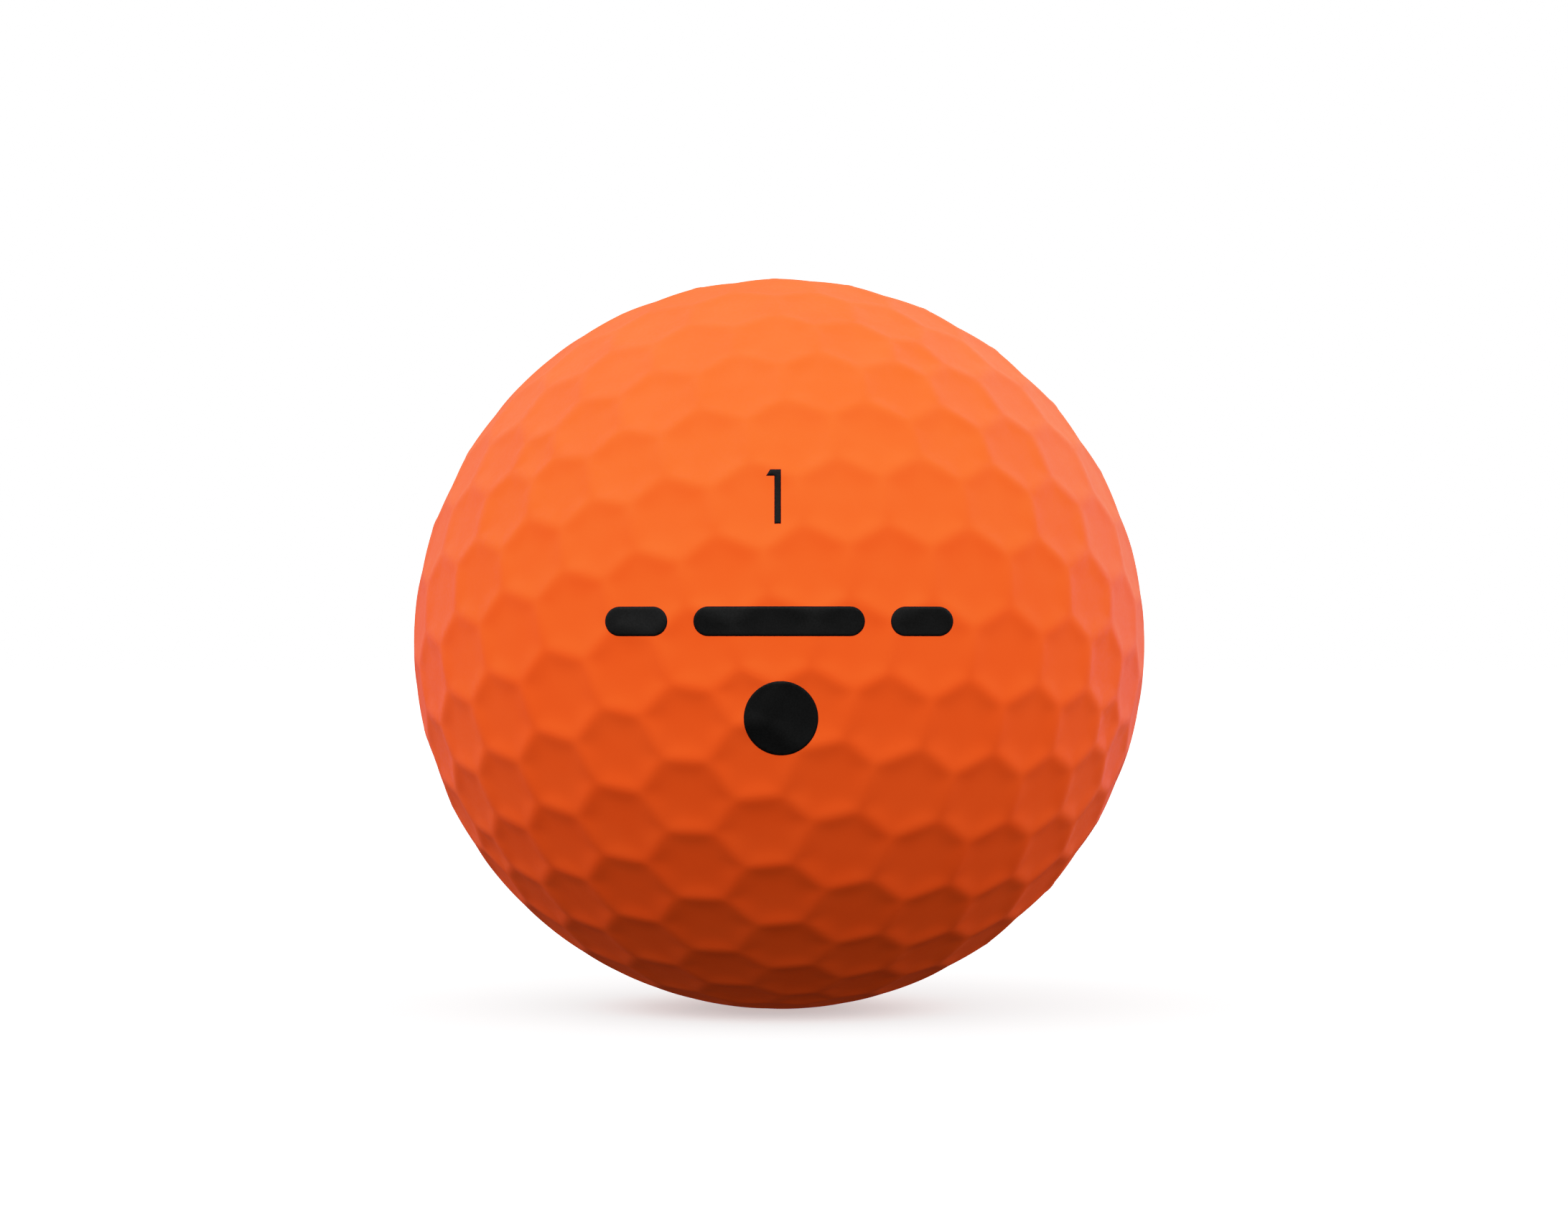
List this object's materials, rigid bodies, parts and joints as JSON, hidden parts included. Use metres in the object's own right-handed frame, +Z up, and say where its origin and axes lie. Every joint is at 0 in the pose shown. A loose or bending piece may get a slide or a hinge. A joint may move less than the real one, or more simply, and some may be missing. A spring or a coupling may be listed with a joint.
{
  "type": "golf ball",
  "caption": "Solid-core golf ball with a matte orange moulded cover of hexagonal dimples and black pad-printed marks.",
  "frame": {"origin": "centre of the ball", "axes": "+Z up when the prints are upright, -Y out through the printed front, +X to the right of the prints"},
  "size_m": [0.0425, 0.0426, 0.0426],
  "materials": {
    "core_rubber": "moulded matte",
    "cover_ionomer": "matte",
    "print_ink": "satin"
  },
  "bodies": {
    "root": {"core": "core_rubber", "cover": "cover_ionomer", "play_number": "print_ink", "align_bar_mid": "print_ink", "align_bar_left": "print_ink", "align_bar_right": "print_ink", "align_dot": "print_ink"}
  },
  "joints": []
}
